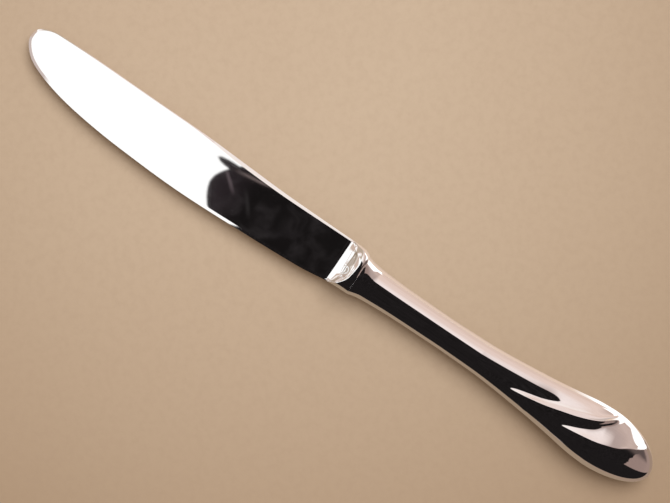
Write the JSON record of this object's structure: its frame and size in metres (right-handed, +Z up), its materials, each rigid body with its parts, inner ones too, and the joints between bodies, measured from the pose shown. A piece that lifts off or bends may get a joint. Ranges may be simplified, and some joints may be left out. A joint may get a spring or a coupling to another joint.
{
  "type": "table knife",
  "caption": "Hollow-handled table knife: a polished blade with bolster and tang, cemented into two pressed half shells with swirl-fluted bulb.",
  "frame": {"origin": "centre of the knife's plan on the surface that it lies on: the knife rests on its side, on the crest of the bolster and on the bulb of the handle", "axes": "+X along the knife from the tip of the blade to the end of the handle, +Y toward the spine side, +Z up out of the shown side of the knife"},
  "size_m": [0.2402, 0.0206, 0.0117],
  "materials": {
    "blade_steel": "mirror polished stainless steel with a faint lengthwise polish grain",
    "handle_steel": "mirror polished stainless steel",
    "cement": "cast resin cement, matt, sealed inside the handle"
  },
  "bodies": {
    "root": {"blade": "blade_steel", "upper_shell": "handle_steel", "lower_shell": "handle_steel", "tang_cement": "cement"}
  },
  "joints": []
}
